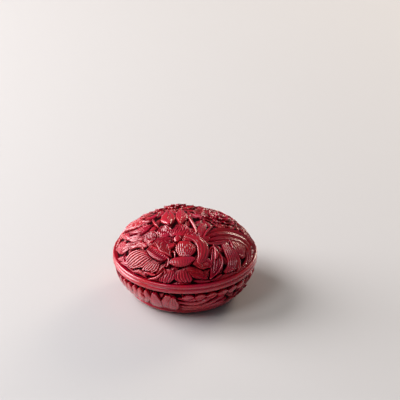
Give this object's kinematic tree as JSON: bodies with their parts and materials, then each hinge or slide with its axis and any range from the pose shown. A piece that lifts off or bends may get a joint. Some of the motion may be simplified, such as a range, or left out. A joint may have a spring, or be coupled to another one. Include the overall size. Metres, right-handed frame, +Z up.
{
  "type": "lidded incense box",
  "caption": "Low round incense box of carved red lacquer with peony relief, black inside, and a domed lid that lifts off a fitting ring.",
  "frame": {"origin": "centre of the resting face, on the axis of the box", "axes": "+Z up the axis of the box towards the crown of the lid; X and Y are the same, as every piece is round"},
  "size_m": [0.075, 0.075, 0.0425],
  "materials": {
    "red_lacquer_lid": "semi-gloss red lacquer",
    "turned_wood_lid": "bare turned wood",
    "black_lacquer_lid": "polished black lacquer",
    "black_lacquer_ring": "polished black lacquer over wood",
    "red_lacquer_bowl": "semi-gloss red lacquer",
    "turned_wood_bowl": "bare turned wood",
    "black_lacquer_bowl": "polished black lacquer",
    "black_lacquer_foot": "worn satin black lacquer"
  },
  "bodies": {
    "bowl": {"bowl_carved_coat": "red_lacquer_bowl", "bowl_wood_core": "turned_wood_bowl", "bowl_inner_lining": "black_lacquer_bowl", "fitting_ring": "black_lacquer_ring", "foot_and_base": "black_lacquer_foot"},
    "lid": {"lid_carved_coat": "red_lacquer_lid", "lid_wood_core": "turned_wood_lid", "lid_inner_lining": "black_lacquer_lid"}
  },
  "joints": [
    {"name": "lid_lift", "type": "slide", "parent": "bowl", "child": "lid", "axis": [0, 0, 1], "range_m": [0, 0.05]}
  ]
}
